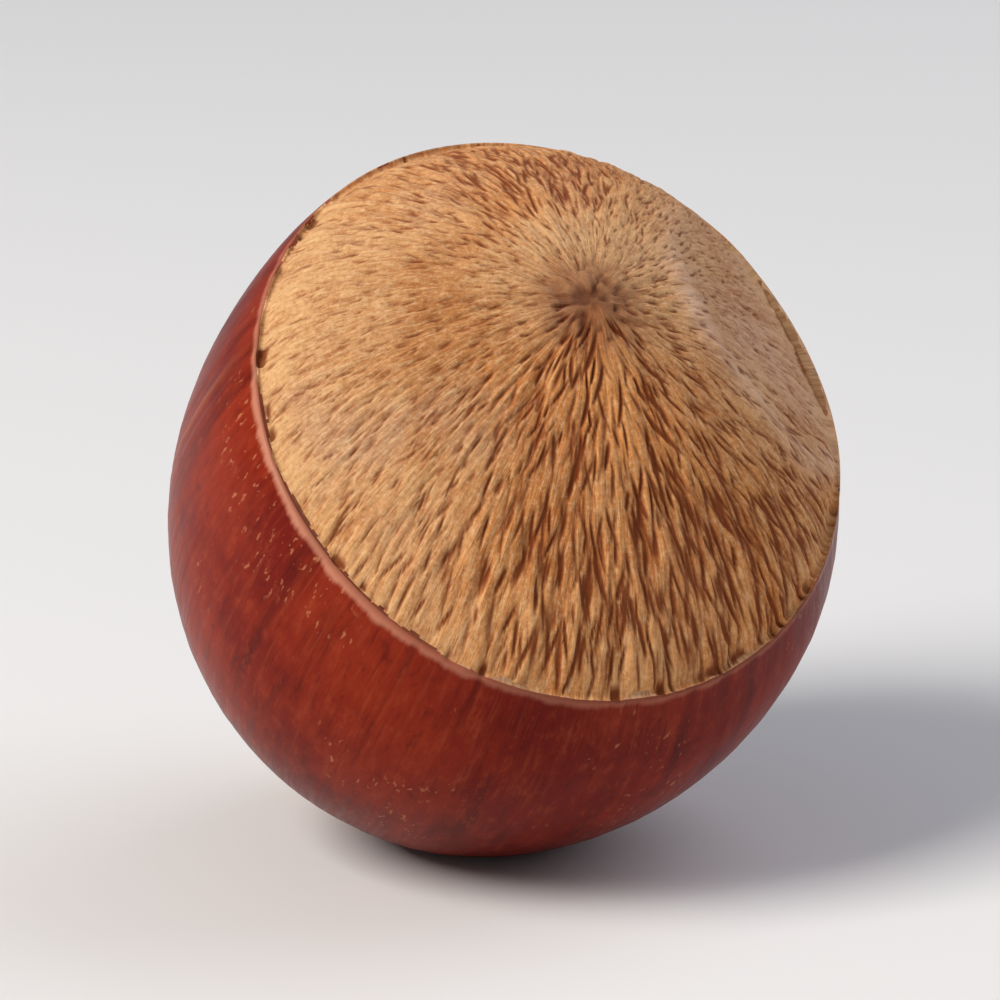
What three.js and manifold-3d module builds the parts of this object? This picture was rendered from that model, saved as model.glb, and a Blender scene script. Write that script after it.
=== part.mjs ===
// A whole hazelnut in its shell, lying on the flank beside its point, scar up and to the front.
// One grown body: smooth shell, a groove round the scar, and the domed scar with its small boss.
// Millimetres, +Z up. The origin is the middle of the small flat spot that the nut rests on.

import * as THREE from 'three';
import { mergeVertices } from 'three/addons/utils/BufferGeometryUtils.js';
import Module from 'manifold-3d';

// Driving dimensions. Heights run along the nut's own axis, from its widest belt to the scar.
const girth = 10.5; // mean half width at the belt
const ovalLong = 1.03; // the section is a little oval: its long and its short way
const ovalShort = 0.965;
const ovalTurn = 42; // degrees from the nut's upper side to the long way
const lean = 1.0; // how much the scar's rim leans out of square
const leanTurn = -40; // degrees from the nut's upper side to where the rim is highest
const axisElevation = 48; // degrees above level of the axis, scar end up
const flatDepth = 0.22; // how much the flat spot takes off the flank

const flankRadius = 5.1 * girth; // gently bowed cone that ends in the point
const bellyRadius = 1.12 * girth; // rounds the flank into the belt
const shoulderRadius = 1.25 * girth; // draws the shell in from the belt to the scar
const flankStart = 42; // degrees between the point's direction and the flank's normal
const nibHeight = 0.25; // the blunt little nib on the point
const nibRadius = 1.0;

const rimHeight = 0.45 * girth; // where the shell ends and the scar begins
const grooveWidth = 0.2; // the fine groove round the scar
const grooveDepth = 0.06;
const domeHeight = 0.4 * girth; // the scar's dome over its rim
const domePower = 1.75; // 2 is round, 1 is a cone
const domeEdge = 0.76; // under 1 rounds the dome's edge down to the groove
const bossHeight = 0.15; // the boss in the middle of the scar
const bossRadius = 1.0;
const bossShift = 1.1; // how far the boss sits out of the middle
const bossTurn = 15; // degrees from the nut's upper side to the way it is shifted

const pressTurn = 82; // degrees from the nut's upper side to the broad flat beside the boss
const pressRise = 54; // degrees above the belt's plane that the broad flat faces
const pressDepth = 0.75; // how much the broad flat takes off

const columns = 64;
const steps = 9; // points on each long stretch of the outline

const radians = THREE.MathUtils.degToRad;

// Points on an arc, from one angle to another, in degrees above the belt's plane.
function arc(centreX, centreY, radius, from, to, count) {
  const points = [];
  for (let i = 0; i <= count; i += 1) {
    const angle = radians(THREE.MathUtils.lerp(from, to, i / count));
    points.push(new THREE.Vector2(
      centreX + radius * Math.cos(angle),
      centreY + radius * Math.sin(angle),
    ));
  }
  return points;
}

// The half outline from the point, over the belt, to the middle of the scar.
function outline() {
  const bellyX = girth - bellyRadius;
  const joinAngle = flankStart - 90;
  const reach = bellyRadius - flankRadius;
  const flankX = bellyX + reach * Math.cos(radians(joinAngle));
  const flankY = reach * Math.sin(radians(joinAngle));
  const pointAngle = -THREE.MathUtils.radToDeg(Math.acos(-flankX / flankRadius));
  const flank = arc(flankX, flankY, flankRadius, pointAngle, joinAngle, steps);
  flank[0].x = 0;
  for (const point of flank) {
    point.y -= nibHeight * Math.exp(-((point.x / nibRadius) ** 2));
  }

  const belly = arc(bellyX, 0, bellyRadius, joinAngle, 0, steps);
  const shoulderX = girth - shoulderRadius;
  const rimAngle = THREE.MathUtils.radToDeg(Math.asin(rimHeight / shoulderRadius));
  const shoulder = arc(shoulderX, 0, shoulderRadius, 0, rimAngle, 5);

  const rim = shoulder[shoulder.length - 1];
  const groove = new THREE.Vector2(rim.x - grooveWidth / 2, rim.y - grooveDepth);
  const scarRadius = rim.x - grooveWidth;
  const scar = [];
  for (let i = 0; i <= steps; i += 1) {
    const radius = scarRadius * (1 - (i / steps) ** 1.15);
    const dome = domeHeight * (1 - (radius / scarRadius) ** domePower) ** domeEdge;
    const boss = bossHeight * Math.exp(-((radius / bossRadius) ** 2));
    scar.push(new THREE.Vector2(radius, rim.y + dome + boss));
  }
  return [...flank, ...belly.slice(1), ...shoulder.slice(1), groove, ...scar];
}

// Presses in the broad flat, makes the turned body oval, leans its rim and shifts its boss, as a
// nut squeezed by its neighbours grows.
function growUneven(geometry) {
  const long = new THREE.Vector3(Math.sin(radians(ovalTurn)), 0, -Math.cos(radians(ovalTurn)));
  const short = new THREE.Vector3(-long.z, 0, long.x);
  const high = new THREE.Vector3(Math.sin(radians(leanTurn)), 0, -Math.cos(radians(leanTurn)));
  const pressWay = new THREE.Vector3(
    Math.cos(radians(pressRise)) * Math.sin(radians(pressTurn)),
    Math.sin(radians(pressRise)),
    -Math.cos(radians(pressRise)) * Math.cos(radians(pressTurn)),
  );
  const shift = new THREE.Vector3(Math.sin(radians(bossTurn)), 0, -Math.cos(radians(bossTurn)));
  const position = geometry.getAttribute('position');
  const vertex = new THREE.Vector3();
  let reach = 0;
  for (let i = 0; i < position.count; i += 1) {
    reach = Math.max(reach, vertex.fromBufferAttribute(position, i).dot(pressWay));
  }
  for (let i = 0; i < position.count; i += 1) {
    vertex.fromBufferAttribute(position, i);
    const over = vertex.dot(pressWay) - reach + pressDepth;
    vertex.addScaledVector(pressWay, -0.85 * Math.max(over, 0));
    const alongLong = vertex.dot(long);
    const alongShort = vertex.dot(short);
    const towardsScar = THREE.MathUtils.smoothstep(vertex.y, 0, rimHeight);
    const height = vertex.y + (lean * towardsScar * vertex.dot(high)) / girth;
    const upDome = THREE.MathUtils.clamp((vertex.y - rimHeight) / domeHeight, 0, 1);
    vertex.set(0, height, 0);
    vertex.addScaledVector(long, alongLong * ovalLong);
    vertex.addScaledVector(short, alongShort * ovalShort);
    vertex.addScaledVector(shift, upDome * bossShift);
    position.setXYZ(i, vertex.x, vertex.y, vertex.z);
  }
}

const wasm = await Module();
wasm.setup();

function toSolid(geometry) {
  const bare = geometry.clone();
  bare.deleteAttribute('normal');
  bare.deleteAttribute('uv');
  const merged = mergeVertices(bare, 1e-5);
  return new wasm.Manifold(new wasm.Mesh({
    numProp: 3,
    vertProperties: new Float32Array(merged.getAttribute('position').array),
    triVerts: new Uint32Array(merged.getIndex().array),
  }));
}

function toGeometry(solid) {
  const { vertProperties, triVerts } = solid.getMesh();
  const geometry = new THREE.BufferGeometry();
  geometry.setAttribute('position', new THREE.BufferAttribute(vertProperties, 3));
  geometry.setIndex(new THREE.BufferAttribute(triVerts, 1));
  geometry.computeVertexNormals();
  return geometry;
}

// Cuts the flat spot and puts its middle at the origin.
function restOnFlank(geometry) {
  geometry.computeBoundingBox();
  geometry.translate(0, 0, -geometry.boundingBox.min.z - flatDepth);
  const below = new THREE.BoxGeometry(4 * girth, 4 * girth, girth).translate(0, 0, -girth / 2);
  const cut = toGeometry(toSolid(geometry).subtract(toSolid(below)));

  const spot = new THREE.Box3();
  const position = cut.getAttribute('position');
  const vertex = new THREE.Vector3();
  for (let i = 0; i < position.count; i += 1) {
    vertex.fromBufferAttribute(position, i);
    if (vertex.z < 1e-4) spot.expandByPoint(vertex);
  }
  const middle = spot.getCenter(new THREE.Vector3());
  return cut.translate(-middle.x, -middle.y, 0);
}

const nutGeometry = new THREE.LatheGeometry(outline(), columns);
growUneven(nutGeometry);
nutGeometry.rotateX(radians(180 - axisElevation));

const hazelnut = new THREE.Mesh(
  restOnFlank(nutGeometry),
  new THREE.MeshStandardMaterial({ color: 0x8c3b22, roughness: 0.42, metalness: 0 }),
);
hazelnut.name = 'hazelnut';

const group = new THREE.Group();
group.add(hazelnut);

export default group;
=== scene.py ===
# A whole hazelnut in its shell, lying on the flank beside its point.
import math

import bmesh
import bpy
import numpy as np
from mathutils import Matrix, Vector


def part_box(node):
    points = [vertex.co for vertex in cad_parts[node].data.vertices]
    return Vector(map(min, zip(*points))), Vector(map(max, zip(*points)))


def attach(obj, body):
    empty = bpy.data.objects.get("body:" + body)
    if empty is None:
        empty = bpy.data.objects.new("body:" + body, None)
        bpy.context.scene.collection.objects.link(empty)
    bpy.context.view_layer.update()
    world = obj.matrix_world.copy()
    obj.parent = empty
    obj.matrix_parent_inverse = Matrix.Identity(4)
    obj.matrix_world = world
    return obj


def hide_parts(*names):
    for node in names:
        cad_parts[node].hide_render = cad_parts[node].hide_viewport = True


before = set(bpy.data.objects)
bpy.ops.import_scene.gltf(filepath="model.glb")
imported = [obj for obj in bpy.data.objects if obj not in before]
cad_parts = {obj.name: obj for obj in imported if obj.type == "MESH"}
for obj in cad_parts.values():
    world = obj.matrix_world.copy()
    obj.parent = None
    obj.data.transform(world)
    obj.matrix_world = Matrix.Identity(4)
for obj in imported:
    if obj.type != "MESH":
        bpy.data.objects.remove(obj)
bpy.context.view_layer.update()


# ==== The hazelnut =========================================================================
# The real nut is one grown body: a hard round shell, pointed at one end, with a broad domed
# scar of corky fibres at the other, where it sat in its husk. It is made here as a half outline
# that is turned once round, after its unevenness is worked out, and it has two finishes.

mm = 0.001
low, high = (Vector(corner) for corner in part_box("hazelnut"))

# ---- Its outline: from the point, over the belt and down into the groove, to the boss.

oval_long, oval_short = 1.03, 0.965  # the section's long and short way
oval_turn = math.radians(42)  # from the nut's upper side to the long way
widening = math.hypot(oval_long * math.sin(oval_turn), oval_short * math.cos(oval_turn))
girth = (high.x - low.x) / 2 / widening  # mean half width at the belt
lean = 1.0 * mm  # how much the scar's rim leans out of square
lean_turn = math.radians(-40)  # from the nut's upper side to where the rim is highest
axis_rise = math.radians(48)  # the axis over the level, scar end up

flank_radius = 5.1 * girth  # gently bowed cone that ends in the point
belly_radius = 1.12 * girth  # rounds the flank into the belt
shoulder_radius = 1.25 * girth  # draws the shell in from the belt to the scar
flank_start = math.radians(42)  # between the point's direction and the flank's normal
nib_height, nib_radius = 0.25 * mm, 1.0 * mm  # the blunt little nib on the point

rim_height = 0.45 * girth  # where the shell ends and the scar begins
groove_width, groove_depth = 0.2 * mm, 0.06 * mm
dome_height, dome_power, dome_edge = 0.4 * girth, 1.75, 0.76
boss_height, boss_radius = 0.15 * mm, 1.0 * mm
boss_shift, boss_turn = 1.1 * mm, math.radians(15)  # how far, and which way, it is off the middle

columns = 900
flank_rows, belly_rows, shoulder_rows, groove_rows, scar_rows = 16, 10, 8, 4, 66


def arc(centre, radius, start, end, shares):
    """Points on an arc round centre, from one angle to another, over the belt's plane."""
    angle = start + (end - start) * shares
    return np.stack([centre[0] + radius * np.cos(angle), centre[1] + radius * np.sin(angle)], 1)


def even(count):
    """Shares of a stretch, without its start, which the stretch before it has."""
    return np.arange(1, count + 1) / count


join = flank_start - math.pi / 2
belly_centre = (girth - belly_radius, 0.0)
back = belly_radius - flank_radius
flank_centre = (belly_centre[0] + back * math.cos(join), back * math.sin(join))
point_angle = -math.acos(-flank_centre[0] / flank_radius)
flank = arc(flank_centre, flank_radius, point_angle, join, np.linspace(0, 1, flank_rows) ** 1.7)
flank[0, 0] = 0.0
flank[:, 1] -= nib_height * np.exp(-((flank[:, 0] / nib_radius) ** 2))

belly = arc(belly_centre, belly_radius, join, 0.0, even(belly_rows))

rim_angle = math.asin(rim_height / shoulder_radius)
closing = 1 - (1 - even(shoulder_rows)) ** 1.5  # rows closer together towards the rim
shoulder = arc((girth - shoulder_radius, 0.0), shoulder_radius, 0.0, rim_angle, closing)
rim = shoulder[-1]

inward = even(groove_rows)
groove = np.stack(
    [rim[0] - groove_width * inward, rim[1] - groove_depth * np.sin(math.pi * inward)], 1
)

scar_radius = rim[0] - groove_width
scar_reach = scar_radius * (1 - even(scar_rows) ** 1.08)
dome = dome_height * (1 - (scar_reach / scar_radius) ** dome_power) ** dome_edge
boss = boss_height * np.exp(-((scar_reach / boss_radius) ** 2))
scar = np.stack([scar_reach, rim[1] + dome + boss], 1)

outline = np.concatenate([flank, belly, shoulder, groove, scar])
rows = len(outline)
rim_row = flank_rows + belly_rows + shoulder_rows - 1
scar_row = rim_row + groove_rows

strides = np.linalg.norm(np.diff(outline, axis=0), axis=1)
along = np.concatenate([[0.0], np.cumsum(strides)])  # the way up the outline from the point
tangent = np.gradient(outline, along, axis=0)
tangent /= np.linalg.norm(tangent, axis=1)[:, None]
outward = np.stack([tangent[:, 1], -tangent[:, 0]], 1)

# ---- Its unevenness: how far the skin stands over the turned form, for each row of the outline
# and each column round the nut. Bearings go round the nut from its upper side, in degrees.

bearing = 2 * math.pi * np.arange(columns) / columns
radius = outline[:, 0][:, None]
past_rim = (along - along[rim_row])[:, None]  # over 0 on the scar's side
to_middle = (along[-1] - along)[:, None]


def drift(x, y, z, seed):
    """Smooth random numbers from -1 to 1 over three coordinates, one swell to a unit."""
    knots = np.random.default_rng(seed).uniform(-1, 1, (64, 64, 64))
    total = 0.0
    for corner in np.ndindex(2, 2, 2):
        weight, index = 1.0, []
        for value, side in zip((x, y, z), corner):
            cell = np.floor(value)
            share = value - cell
            share = share * share * (3 - 2 * share)
            weight = weight * (share if side else 1 - share)
            index.append((cell.astype(int) + side) % 64)
        total = total + weight * knots[tuple(index)]
    return total


def swells(turns, length, seed):
    """Drift over the skin: so many swells round the nut, each so long up it."""
    ring = turns / (2 * math.pi)
    return drift(
        ring * np.cos(bearing)[None, :] + 20, ring * np.sin(bearing)[None, :] + 20,
        along[:, None] / length, seed,
    )


def strands(width, length, seed):
    """Drift drawn out along the scar's fibres, which stay as wide from its edge to its middle."""
    meander = bearing[None, :] + 0.045 * swells(7, 3 * mm, seed)
    apart = np.log2(scar_radius / np.maximum(radius, 0.3 * mm))
    total, weight = 0.0, 0.0
    for ring in range(6):
        share = np.clip(1 - np.abs(apart - ring), 0, 1)
        turns = scar_radius / 2**ring / width
        fibres = drift(
            turns * np.cos(meander) + 32, turns * np.sin(meander) + 32,
            to_middle / length, seed + ring,
        )
        total = total + share * fibres
        weight = weight + share**2
    return total / np.sqrt(np.maximum(weight, 0.2))


def rise(value, start, end):
    """0 before start, 1 past end, smooth between."""
    share = np.clip((value - start) / (end - start), 0, 1)
    return share * share * (3 - 2 * share)


def facing(degrees, spread):
    """1 at a bearing round the nut, falling off over a spread, both in degrees."""
    off = (np.degrees(bearing) - degrees + 180) % 360 - 180
    return np.exp(-((off / spread) ** 2))[None, :]


# Broad and small swells in the whole form, none at the point or the boss.
broad_swell, small_swell = 0.10 * mm, 0.04 * mm
off_poles = rise(radius, 0, 2.5 * mm)
relief = broad_swell * swells(5, 9 * mm, 1) * off_poles
relief += small_swell * swells(13, 5 * mm, 2) * off_poles

# A broad flat, pressed by a neighbour in the husk, from near the boss over the scar's rim, with
# a soft raised ridge along the side of it that crosses the scar.
flat_turn, flat_rise = math.radians(82), math.radians(54)  # the way it faces
flat_cut = 0.75 * mm  # how much it takes off
flat_give, flat_bend = 0.85, 0.30 * mm  # how fully the skin gives way, and how softly it bends
ridge_height, ridge_width = 0.10 * mm, 0.20 * mm
flat_way = (
    math.cos(flat_rise) * math.sin(flat_turn),
    math.cos(flat_rise) * math.cos(flat_turn),
    math.sin(flat_rise),
)
stand = (
    flat_way[0] * radius * np.sin(bearing)
    + flat_way[1] * radius * np.cos(bearing)
    + flat_way[2] * outline[:, 1][:, None]
)
over_flat = stand - stand.max() + flat_cut
pressed = (over_flat + np.sqrt(over_flat**2 + flat_bend**2)) / 2
relief -= flat_give * pressed
uneven_edge = over_flat + 0.04 * mm * swells(16, 2 * mm, 15)
flat_edge = np.exp(-((uneven_edge / ridge_width) ** 2))
relief += ridge_height * flat_edge * facing(85, 42) * rise(to_middle, 0.8 * mm, 2.5 * mm)

# The shell's fine ribs, and its two raised seams, which come and go.
rib_height, seam_height = 0.008 * mm, 0.05 * mm
on_shell = rise(-past_rim, 0, 0.5 * mm)
ribs = swells(160, 7 * mm, 3) + 0.6 * swells(300, 4 * mm, 4)
relief += rib_height * ribs * on_shell * off_poles
seam = np.maximum(facing(292, 0.8), 0.9 * facing(52, 0.9)) * on_shell
seam = seam * rise(along[:, None], 2 * mm, 6 * mm) * rise(swells(9, 4 * mm, 5), -0.4, 0.3)
relief += seam_height * seam * off_poles

# The scar's edge: its fibres end raggedly at the groove, and cover it on the upper side. The
# shell's rim is rubbed pale where it stands free.
ragged = 0.13 * mm * (swells(45, 90 * mm, 6) + swells(150, 90 * mm, 7))
covered = facing(46, 72)
edge = np.maximum(0.12 * mm + ragged - 0.5 * mm * covered, 0.0)
on_scar = rise(past_rim - edge, -0.05 * mm, 0.08 * mm)
rubbed = facing(262, 46) * rise(-past_rim, -0.1 * mm, 0.1 * mm)

# The fibres: bundles, with fine threads and crumbs over them, combed flat on the upper side.
combed = facing(40, 42)
near_middle = rise(radius, 0.15 * mm, 1.0 * mm)
bundles = strands(0.60 * mm, 2.4 * mm, 20)
threads = strands(0.24 * mm, 0.9 * mm, 30)
crumbs = strands(0.17 * mm, 0.35 * mm, 40)
felt = 0.065 * mm * bundles + 0.045 * mm * threads + 0.035 * mm * crumbs
relief += felt * (1 - 0.55 * combed) * on_scar * near_middle

# Slots between the fibres, longest, deepest and most often in the valleys between bundles on
# the side that was torn last, and a row of short notches where the fibres meet the shell.
torn = np.maximum(facing(176, 56), 0.75 * facing(0, 34) * rise(radius, 2 * mm, 5 * mm))
torn = np.clip(torn + 0.25 * swells(9, 4 * mm, 8), 0, 1)
slots = np.zeros((rows, columns))
slot_depth, slot_bend, slot_tries = 0.14 * mm, 0.15 / mm, 5200
chance = np.random.default_rng(13)


def cut_slot(reach_out, towards, length, half_width, depth, slant):
    """Deepens slots by one long narrow cut, at a distance from the axis and a bearing."""
    near = np.flatnonzero(np.abs(outline[:, 0] - reach_out) < length)
    near = near[near > rim_row]
    if not len(near):
        return
    down = (outline[near, 0] - reach_out)[:, None]
    window = int(3 * half_width / reach_out / (2 * math.pi) * columns) + 2
    spot = round(towards / (2 * math.pi) * columns)
    span = np.arange(spot - window, spot + window + 1)
    sideways = (span * 2 * math.pi / columns - towards)[None, :] * outline[near, 0][:, None]
    sideways = sideways - slant * down - math.copysign(slot_bend, slant) * down * down
    cut = np.exp(-((sideways / half_width) ** 2)) * (1 - (down / length) ** 2) ** 0.7
    patch = np.ix_(near, span % columns)
    slots[patch] = np.maximum(slots[patch], depth * cut)


for _ in range(slot_tries):
    reach_out = scar_radius * math.sqrt(chance.uniform(0.012, 0.98))
    towards = chance.uniform(0, 2 * math.pi)
    row = int(np.argmin(np.abs(outline[scar_row:, 0] - reach_out))) + scar_row
    column = int(towards / (2 * math.pi) * columns) % columns
    keen = torn[row, column]
    length = chance.uniform(0.15, 0.45) * (0.70 + 1.15 * keen) * mm
    half_width = chance.uniform(0.040, 0.076) * (0.95 + 0.32 * keen) * mm
    depth = chance.uniform(0.3, 1.0) * (0.62 + 0.38 * keen)
    slant = chance.uniform(-0.42, 0.42)
    if chance.uniform() < 0.58 - 0.42 * bundles[row, column] * keen:
        cut_slot(reach_out, towards, length, half_width, depth, slant)
notches = rise(swells(190, 90 * mm, 9), 0.10, 0.45) * rise(-past_rim, -0.58 * mm, -0.30 * mm)
slots = np.maximum(slots, 0.7 * notches * (1 - facing(46, 80)))
slots = slots * on_scar * near_middle
relief -= slot_depth * slots * (1 - 0.5 * combed)

# Small pits round the boss, where the last threads of the husk let go.
pit_depth, pit_size = 0.14 * mm, 0.24 * mm
across = drift(
    radius * np.sin(bearing)[None, :] / pit_size + 20,
    radius * np.cos(bearing)[None, :] / pit_size + 20,
    np.full((rows, columns), 0.5), 16,
)
pits = rise(across, -0.10, 0.40) * rise(-to_middle, -2.3 * mm, -0.4 * mm) * on_scar
relief -= pit_depth * pits

# The broad flat gets a patchy painted sheen, and its ridge a painted highlight.
sheen_amount = 0.42 + 0.30 * swells(14, 2.5 * mm, 17)
painted_sheen = np.maximum(
    sheen_amount * rise(over_flat, -0.6 * mm, 0.6 * mm), flat_edge * facing(92, 40)
)
painted_sheen = painted_sheen * rise(to_middle, 0.6 * mm, 2.0 * mm) * on_scar

# Both finishes read these two. The skin is fibrous where the scar is torn, the groove round it
# too, and where fibres cover the shell's rim. It is paler under a painted sheen on the flat and a
# painted highlight along its ridge, and where the rim is rubbed.
fibrous = np.where(past_rim > 0, torn, covered)
rubbed_and_sheen = np.maximum(painted_sheen, rubbed)

# ---- Its skin: the outline is turned once round, takes its unevenness, and is set down on its
# flat spot. Faces past the ragged edge get the scar's finish, the others the shell's.

long_way = np.array([math.sin(oval_turn), math.cos(oval_turn)])
short_way = np.array([long_way[1], -long_way[0]])
ray = np.stack([np.sin(bearing), np.cos(bearing)], 1)
ray_long, ray_short = ray @ long_way, ray @ short_way
ray_high = np.cos(bearing - lean_turn)


def grown(lift):
    """Every point of the skin, lifted off the turned form, before the nut is set down."""
    out = outline[:, 0][:, None] + outward[:, 0][:, None] * lift
    up = outline[:, 1][:, None] + outward[:, 1][:, None] * lift
    up = up + lean * rise(outline[:, 1], 0, rim_height)[:, None] * out * ray_high / girth
    sides = (
        oval_long * (out * ray_long)[..., None] * long_way
        + oval_short * (out * ray_short)[..., None] * short_way
    )
    up_dome = np.clip((outline[:, 1] - rim_height) / dome_height, 0, 1)[:, None]
    x = sides[..., 0] + up_dome * boss_shift * math.sin(boss_turn)
    y = sides[..., 1] + up_dome * boss_shift * math.cos(boss_turn)
    tilt = math.pi / 2 - axis_rise
    return np.stack(
        [x, y * math.cos(tilt) - up * math.sin(tilt), y * math.sin(tilt) + up * math.cos(tilt)],
        -1,
    )


smooth = grown(np.zeros((rows, columns))).reshape(-1, 3)
smooth_low, smooth_high = smooth.min(0), smooth.max(0)
middle_gap = (np.array(low) + np.array(high)) / 2 - (smooth_low + smooth_high) / 2
set_down = np.array([middle_gap[0], middle_gap[1], high.z - smooth_high[2]])
skin = grown(relief) + set_down
skin[..., 2] = np.maximum(skin[..., 2], 0.0)

body = bmesh.new()
row_of = body.verts.layers.int.new("row")
chain = [body.verts.new((0.0, out, up)) for out, up in outline]
for row, vert in enumerate(chain):
    vert[row_of] = row
for lower, upper in zip(chain, chain[1:]):
    body.edges.new((lower, upper))
bmesh.ops.spin(
    body,
    geom=body.verts[:] + body.edges[:],
    axis=(0, 0, -1),
    cent=(0, 0, 0),
    angle=2 * math.pi,
    steps=columns,
    use_merge=True,
)
poles = [vert for vert in body.verts if vert[row_of] in (0, rows - 1)]
bmesh.ops.remove_doubles(body, verts=poles, dist=0.001 * mm)

# What the finishes need to know of each point: where it lies, and what grew there.
tallies = {
    "worn": seam,
    "fibrous": fibrous,
    "rubbed_and_sheen": rubbed_and_sheen,
    "ridges": bundles,
    "slots": slots,
    "pits": pits,
}
grain_of = body.verts.layers.float_vector.new("grain")
tally_of = {name: body.verts.layers.float.new(name) for name in tallies}
column_of = {}
for vert in body.verts:
    turned = math.atan2(vert.co.x, vert.co.y) / (2 * math.pi)
    column_of[vert] = round(turned * columns) % columns
for vert, column in column_of.items():
    row = vert[row_of]
    vert[grain_of] = (ray[column, 0], ray[column, 1], along[row] / girth)
    for name, tally in tallies.items():
        vert[tally_of[name]] = tally[row, column]
    vert.co = skin[row, column]
for face in body.faces:
    face.smooth = True
    share = sum(on_scar[vert[row_of], column_of[vert]] for vert in face.verts)
    face.material_index = int(share > len(face.verts) / 2)
bmesh.ops.recalc_face_normals(body, faces=body.faces[:])

mesh = bpy.data.meshes.new("hazelnut_skin")
body.to_mesh(mesh)
body.free()
hazelnut = bpy.data.objects.new("hazelnut_skin", mesh)
bpy.context.collection.objects.link(hazelnut)
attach(hazelnut, "root")
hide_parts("hazelnut")

# ---- The shell's finish: hard, thin-barked wood, polished by rubbing against its neighbours to
# a satin red-brown, with fine pale streaks and flecks up it, and dull tan down at the point.


def add(tree, kind, inputs=None, **settings):
    """A node with its settings and inputs; an input that is a socket is linked."""
    node = tree.nodes.new(kind)
    for name, value in settings.items():
        setattr(node, name, value)
    for name, value in (inputs or {}).items():
        if isinstance(value, bpy.types.NodeSocket):
            tree.links.new(value, node.inputs[name])
        else:
            node.inputs[name].default_value = value
    return node


def speckle(tree, vector, scale, detail=3.0, roughness=0.55, distortion=0.0):
    """Noise over a vector, as a number about 0.5."""
    return add(
        tree,
        "ShaderNodeTexNoise",
        {
            "Vector": vector,
            "Scale": scale,
            "Detail": detail,
            "Roughness": roughness,
            "Distortion": distortion,
        },
    ).outputs["Fac"]


def streaks(tree, grain, scale, detail=3.0, roughness=0.55):
    """Noise drawn out along the grain, by a scale for each of its axes."""
    drawn = add(tree, "ShaderNodeMapping", {"Vector": grain, "Scale": scale}).outputs["Vector"]
    return speckle(tree, drawn, 1.0, detail, roughness)


def ease(tree, value, start, end, low_value=0.0, high_value=1.0):
    """A number eased from low_value to high_value as value goes from start to end."""
    return add(
        tree,
        "ShaderNodeMapRange",
        {
            "Value": value,
            "From Min": start,
            "From Max": end,
            "To Min": low_value,
            "To Max": high_value,
        },
        interpolation_type="SMOOTHSTEP",
    ).outputs["Result"]


def reckon(tree, operation, first, second):
    """Arithmetic on two numbers."""
    return add(tree, "ShaderNodeMath", {0: first, 1: second}, operation=operation).outputs["Value"]


def times(tree, first, second):
    """Two numbers multiplied."""
    return reckon(tree, "MULTIPLY", first, second)


def tint(tree, amount, first, second):
    """Two colours mixed; an RGB triple or a socket each."""
    node = add(tree, "ShaderNodeMix", data_type="RGBA", blend_type="MIX", clamp_factor=True)
    sockets = (node.inputs[0], node.inputs[6], node.inputs[7])
    for socket, value in zip(sockets, (amount, first, second)):
        if isinstance(value, bpy.types.NodeSocket):
            tree.links.new(value, socket)
        else:
            socket.default_value = value if isinstance(value, float) else (*value, 1.0)
    return node.outputs[2]


def new_finish(name, constants):
    """A material with its shader, and the constant values set on the shader itself."""
    material = bpy.data.materials.new(name)
    material.use_nodes = True
    tree = material.node_tree
    shader = tree.nodes["Principled BSDF"]
    for socket, value in constants.items():
        shader.inputs[socket].default_value = value
    return material, tree, shader


def tally(tree, name):
    """What the skin holds under a name, as a number."""
    return add(tree, "ShaderNodeAttribute", attribute_name=name).outputs["Fac"]


def up_the_nut(tree):
    """The grain's direction at a point, and how far up the outline it lies, in girths."""
    grain = add(tree, "ShaderNodeAttribute", attribute_name="grain").outputs["Vector"]
    return grain, add(tree, "ShaderNodeSeparateXYZ", {"Vector": grain}).outputs["Z"]


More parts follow.
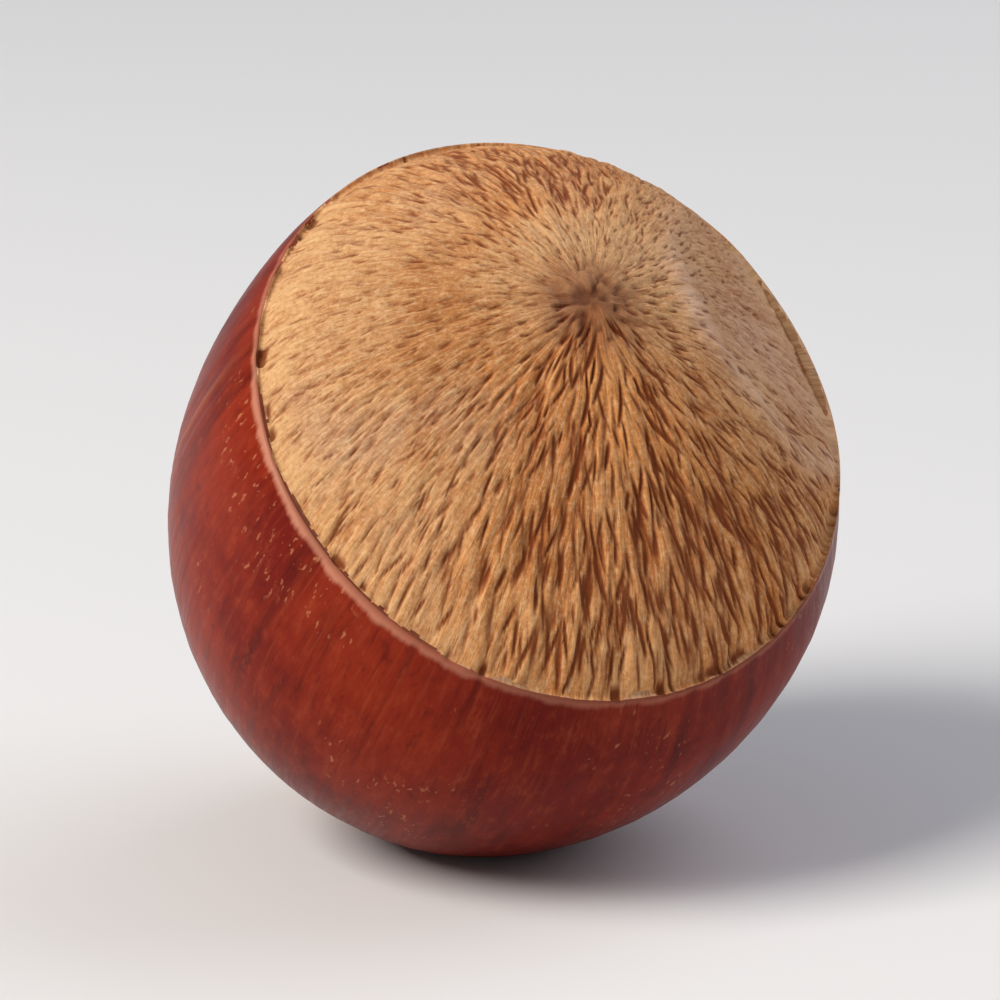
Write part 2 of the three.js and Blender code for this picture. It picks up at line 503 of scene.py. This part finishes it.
def shell_finish():
    material, tree, shader = new_finish(
        "satin_shell",
        {"Coat Weight": 0.06, "Coat Roughness": 0.12, "Specular IOR Level": 0.05},
    )
    place = add(tree, "ShaderNodeTexCoord").outputs["Object"]
    grain, up_shell = up_the_nut(tree)

    # Clouded mahogany, with streaks and a mottle that run up the shell.
    mahogany, russet, dark = (0.138, 0.006, 0.002), (0.235, 0.019, 0.005), (0.045, 0.003, 0.002)
    ember, rust = (0.32, 0.050, 0.016), (0.34, 0.060, 0.020)
    clouds = speckle(tree, place, 170, 4, 0.6)
    long_streaks = streaks(tree, grain, (9, 9, 1.1), 5, 0.65)
    fine_streaks = streaks(tree, grain, (48, 48, 3.2), 4, 0.7)
    mottle = streaks(tree, grain, (26, 26, 12), 4, 0.7)
    colour = tint(tree, ease(tree, clouds, 0.38, 0.66), mahogany, russet)
    colour = tint(tree, ease(tree, long_streaks, 0.50, 0.30, 0.0, 0.55), colour, dark)
    colour = tint(tree, ease(tree, mottle, 0.50, 0.70, 0.0, 0.35), colour, ember)
    colour = tint(tree, ease(tree, mottle, 0.46, 0.28, 0.0, 0.40), colour, dark)
    colour = tint(tree, ease(tree, fine_streaks, 0.50, 0.74, 0.0, 0.30), colour, rust)
    colour = tint(tree, ease(tree, fine_streaks, 0.44, 0.28, 0.0, 0.45), colour, dark)

    # Pale flecks, gathered in places, and the rubbed seams.
    pale = (0.56, 0.22, 0.10)
    fleck_field = ease(tree, streaks(tree, grain, (62, 62, 30), 2, 0.5), 0.62, 0.70)
    fleck_place = ease(tree, speckle(tree, place, 300, 2, 0.5), 0.50, 0.60)
    flecks = times(tree, fleck_field, fleck_place)
    colour = tint(tree, times(tree, flecks, 0.45), colour, pale)
    colour = tint(tree, times(tree, tally(tree, "worn"), 0.6), colour, pale)

    # The rim's pale lip, stronger where the rim is rubbed and under the painted sheen.
    lip_pink = (0.54, 0.22, 0.135)
    rim_up = along[rim_row] / girth
    lip_edge = ease(tree, long_streaks, 0.35, 0.65, 0.0, 0.016)
    lip_height = reckon(tree, "ADD", up_shell, lip_edge)
    lip_band = ease(tree, lip_height, rim_up - 0.030, rim_up - 0.006)
    lip_band = times(tree, lip_band, ease(tree, tally(tree, "rubbed_and_sheen"), 0.0, 1.0, 0.35, 0.85))
    colour = tint(tree, lip_band, colour, lip_pink)

    # Fibres over the rim and in the groove where the skin is fibrous, and shade elsewhere in it.
    fibre_dark, fibre_pale = (0.40, 0.190, 0.085), (0.62, 0.380, 0.210)
    groove_shade = (0.13, 0.04, 0.018)
    cover_edge = reckon(tree, "ADD", up_shell, ease(tree, fine_streaks, 0.3, 0.7, 0.0, 0.03))
    cover_edge = ease(tree, cover_edge, rim_up - 0.030, rim_up - 0.018)
    cover = times(tree, cover_edge, ease(tree, tally(tree, "fibrous"), 0.45, 0.75))
    cover_tone = tint(tree, ease(tree, fine_streaks, 0.36, 0.62), fibre_dark, fibre_pale)
    colour = tint(tree, cover, colour, cover_tone)
    shade = ease(tree, up_shell, rim_up + 0.002, rim_up + 0.02)
    shade = times(tree, shade, reckon(tree, "SUBTRACT", 1.0, cover))
    colour = tint(tree, times(tree, shade, 0.8), colour, groove_shade)

    # Down at the point: close on the point itself, and thinning out up the shell.
    down_dark, down_pale = (0.33, 0.20, 0.115), (0.52, 0.37, 0.24)
    down_noise = streaks(tree, grain, (6, 6, 2.0), 7, 0.72)
    down_edge = reckon(tree, "SUBTRACT", times(tree, down_noise, 1.6), 0.36)
    down = ease(tree, reckon(tree, "SUBTRACT", up_shell, down_edge), 0.16, -0.16)
    hairs = ease(tree, streaks(tree, grain, (34, 34, 5), 4, 0.7), 0.38, 0.60)
    close_down = ease(tree, down, 0.55, 0.95)
    down = times(tree, times(tree, down, reckon(tree, "MAXIMUM", hairs, close_down)), 0.92)
    down_tone = ease(tree, speckle(tree, place, 900, 3), 0.35, 0.65)
    colour = tint(tree, down, colour, tint(tree, down_tone, down_dark, down_pale))
    tree.links.new(colour, shader.inputs["Base Color"])

    rough = ease(tree, fine_streaks, 0.3, 0.7, 0.30, 0.42)
    rough = reckon(tree, "ADD", rough, times(tree, down, 0.34))
    tree.links.new(rough, shader.inputs["Roughness"])

    pores = speckle(tree, place, 2600, 3, 0.6)
    height = reckon(tree, "ADD", times(tree, fine_streaks, 0.6), times(tree, pores, 0.35))
    bump = add(tree, "ShaderNodeBump", {"Height": height, "Strength": 0.35, "Distance": 0.03 * mm})
    tree.links.new(bump.outputs["Normal"], shader.inputs["Normal"])
    return material


hazelnut.data.materials.append(shell_finish())

# ---- The scar's finish: the dry, corky base that was joined to the husk. Its fibres are a dull
# golden tan, greyer in weather-worn patches, paler under a painted sheen on the flat and a painted
# highlight along its ridge, with brown shade in the slots between them.


def scar_finish():
    material, tree, shader = new_finish(
        "corky_scar",
        {"Sheen Weight": 0.03, "Sheen Roughness": 0.5, "Specular IOR Level": 0.1},
    )
    place = add(tree, "ShaderNodeTexCoord").outputs["Object"]
    grain, up_nut = up_the_nut(tree)
    torn = tally(tree, "fibrous")
    middle_up = along[-1] / girth

    # Patches of gold, buff and weathered grey, and the warmer side that was torn last.
    gold, buff, grey = (0.50, 0.212, 0.070), (0.66, 0.360, 0.160), (0.50, 0.305, 0.195)
    amber, brown = (0.74, 0.270, 0.066), (0.30, 0.078, 0.018)
    patches = speckle(tree, place, 170, 3, 0.55)
    weather = speckle(tree, place, 240, 3, 0.6, 0.4)
    wide_fibres = streaks(tree, grain, (26, 26, 5.0), 5, 0.7)
    colour = tint(tree, ease(tree, patches, 0.36, 0.62), gold, buff)
    colour = tint(tree, ease(tree, weather, 0.50, 0.70, 0.0, 0.45), colour, grey)
    colour = tint(tree, times(tree, torn, 0.60), colour, amber)
    colour = tint(tree, ease(tree, wide_fibres, 0.50, 0.34, 0.0, 0.36), colour, brown)

    # Painted shade in the bundles' valleys and painted highlights on their crests, most where torn.
    crest_highlight_gold = (0.80, 0.44, 0.17)
    ridges = tally(tree, "ridges")
    valley_shade = times(tree, ease(tree, ridges, 0.10, -0.50, 0.0, 0.34), torn)
    colour = tint(tree, valley_shade, colour, brown)
    crest_highlights = times(tree, ease(tree, ridges, 0.05, 0.60, 0.0, 0.16), torn)
    colour = tint(tree, crest_highlights, colour, crest_highlight_gold)

    # Threads, closer together towards the edge so that they stay as fine, and grit on them.
    straw, bran = (0.80, 0.49, 0.235), (0.80, 0.56, 0.33)
    outer = ease(tree, up_nut, middle_up - 0.50, middle_up - 0.35, 1.0, 0.0)
    outer_threads = streaks(tree, grain, (78, 78, 16), 4, 0.75)
    inner_threads = streaks(tree, grain, (32, 32, 16), 4, 0.75)
    threads = add(
        tree, "ShaderNodeMix", {0: outer, 2: inner_threads, 3: outer_threads}, data_type="FLOAT"
    ).outputs[0]
    colour = tint(tree, ease(tree, threads, 0.51, 0.64, 0.0, 0.60), colour, straw)
    colour = tint(tree, ease(tree, threads, 0.48, 0.35, 0.0, 0.50), colour, brown)
    grit = speckle(tree, place, 7000, 3, 0.7)
    colour = tint(tree, ease(tree, grit, 0.50, 0.36, 0.0, 0.28), colour, brown)
    colour = tint(tree, ease(tree, grit, 0.52, 0.66, 0.0, 0.30), colour, bran)

    # The painted sheen on the flat and the painted highlight on its ridge, and pale tufts at the
    # edge.
    sheen_tone, tuft_gold = (0.75, 0.475, 0.325), (0.70, 0.43, 0.20)
    streaky = ease(tree, wide_fibres, 0.40, 0.60, 0.40, 0.95)
    colour = tint(tree, times(tree, tally(tree, "rubbed_and_sheen"), streaky), colour, sheen_tone)
    edge_up = along[scar_row] / girth
    tufts = ease(tree, streaks(tree, grain, (16, 16, 4), 3, 0.6), 0.45, 0.65)
    tufts = times(tree, tufts, ease(tree, up_nut, edge_up + 0.20, edge_up))
    colour = tint(tree, times(tree, tufts, 0.45), colour, tuft_gold)

    # The reddish middle, with shade in its pits and in the slots.
    heart_red = (0.26, 0.080, 0.032)
    pit_shade, slot_shade = (0.15, 0.034, 0.014), (0.20, 0.040, 0.009)
    heart = ease(tree, up_nut, middle_up - 0.24, middle_up - 0.06)
    colour = tint(tree, times(tree, heart, 0.6), colour, heart_red)
    colour = tint(tree, times(tree, tally(tree, "pits"), 0.7), colour, pit_shade)
    colour = tint(tree, ease(tree, tally(tree, "slots"), 0.10, 0.65, 0.0, 0.92), colour, slot_shade)
    tree.links.new(colour, shader.inputs["Base Color"])
    tree.links.new(ease(tree, threads, 0.3, 0.7, 0.95, 0.78), shader.inputs["Roughness"])

    height = reckon(tree, "ADD", times(tree, threads, 0.7), times(tree, wide_fibres, 0.5))
    height = reckon(tree, "ADD", height, times(tree, grit, 0.40))
    bump = add(tree, "ShaderNodeBump", {"Height": height, "Strength": 0.8, "Distance": 0.10 * mm})
    tree.links.new(bump.outputs["Normal"], shader.inputs["Normal"])
    return material


hazelnut.data.materials.append(scar_finish())


# ==== The floor ============================================================================
# A pale matt table top, a hair under the flat spot that the nut lies on.

floor_mesh = bpy.data.meshes.new("floor")
sheet = bmesh.new()
bmesh.ops.create_grid(sheet, x_segments=1, y_segments=1, size=1.5)
bmesh.ops.translate(sheet, verts=sheet.verts[:], vec=(0, 0, -0.02 * mm))
sheet.to_mesh(floor_mesh)
sheet.free()
floor = bpy.data.objects.new("floor", floor_mesh)
bpy.context.collection.objects.link(floor)
table_top, _, _ = new_finish(
    "pale_table", {"Base Color": (0.79, 0.78, 0.765, 1), "Roughness": 0.7}
)
floor.data.materials.append(table_top)


# ==== The camera ===========================================================================
# It stands to the nut's left and a little above it, far enough off to see it nearly square.

middle_of_nut = (low + high) / 2
frame_width = 30.5 * mm
view_azimuth, view_elevation = math.radians(-26), math.radians(15)


def way_to(azimuth, elevation):
    """The direction from the nut to something at an azimuth and elevation, 0, 0 in front."""
    return Vector(
        (
            math.sin(azimuth) * math.cos(elevation),
            -math.cos(azimuth) * math.cos(elevation),
            math.sin(elevation),
        )
    )


towards_camera = way_to(view_azimuth, view_elevation)
camera_data = bpy.data.cameras.new("camera")
camera_data.lens = 220
camera_data.clip_start = 0.01
camera = bpy.data.objects.new("camera", camera_data)
bpy.context.collection.objects.link(camera)
distance = frame_width * camera_data.lens / camera_data.sensor_width
camera.location = middle_of_nut + towards_camera * distance
camera.rotation_euler = towards_camera.to_track_quat("Z", "Y").to_euler()
bpy.context.scene.camera = camera


# ==== The light ============================================================================
# Soft daylight from a big window to the left, a dimmer, bluer one behind the nut on the right,
# and the pale room all round.

light_distance = 0.40


def soft_light(name, azimuth, elevation, size, power, colour):
    """A square soft light, aimed at the nut from an azimuth round the camera's view."""
    towards = way_to(math.radians(azimuth) + view_azimuth, math.radians(elevation))
    light = bpy.data.lights.new(name, "AREA")
    light.shape = "SQUARE"
    light.size = size
    light.energy = power
    light.color = colour
    holder = bpy.data.objects.new(name, light)
    bpy.context.collection.objects.link(holder)
    holder.location = middle_of_nut + towards * light_distance
    holder.rotation_euler = towards.to_track_quat("Z", "Y").to_euler()


soft_light("window", -58, 42, 0.20, 1.8, (1.0, 0.965, 0.92))
soft_light("back_window", 118, 40, 0.45, 0.9, (0.84, 0.88, 1.0))

room = bpy.data.worlds.new("pale_room")
room.use_nodes = True
room_light = room.node_tree.nodes["Background"]
room_light.inputs["Color"].default_value = (0.93, 0.95, 1.0, 1)
room_light.inputs["Strength"].default_value = 0.22
bpy.context.scene.world = room
bpy.context.scene.view_settings.view_transform = "Standard"
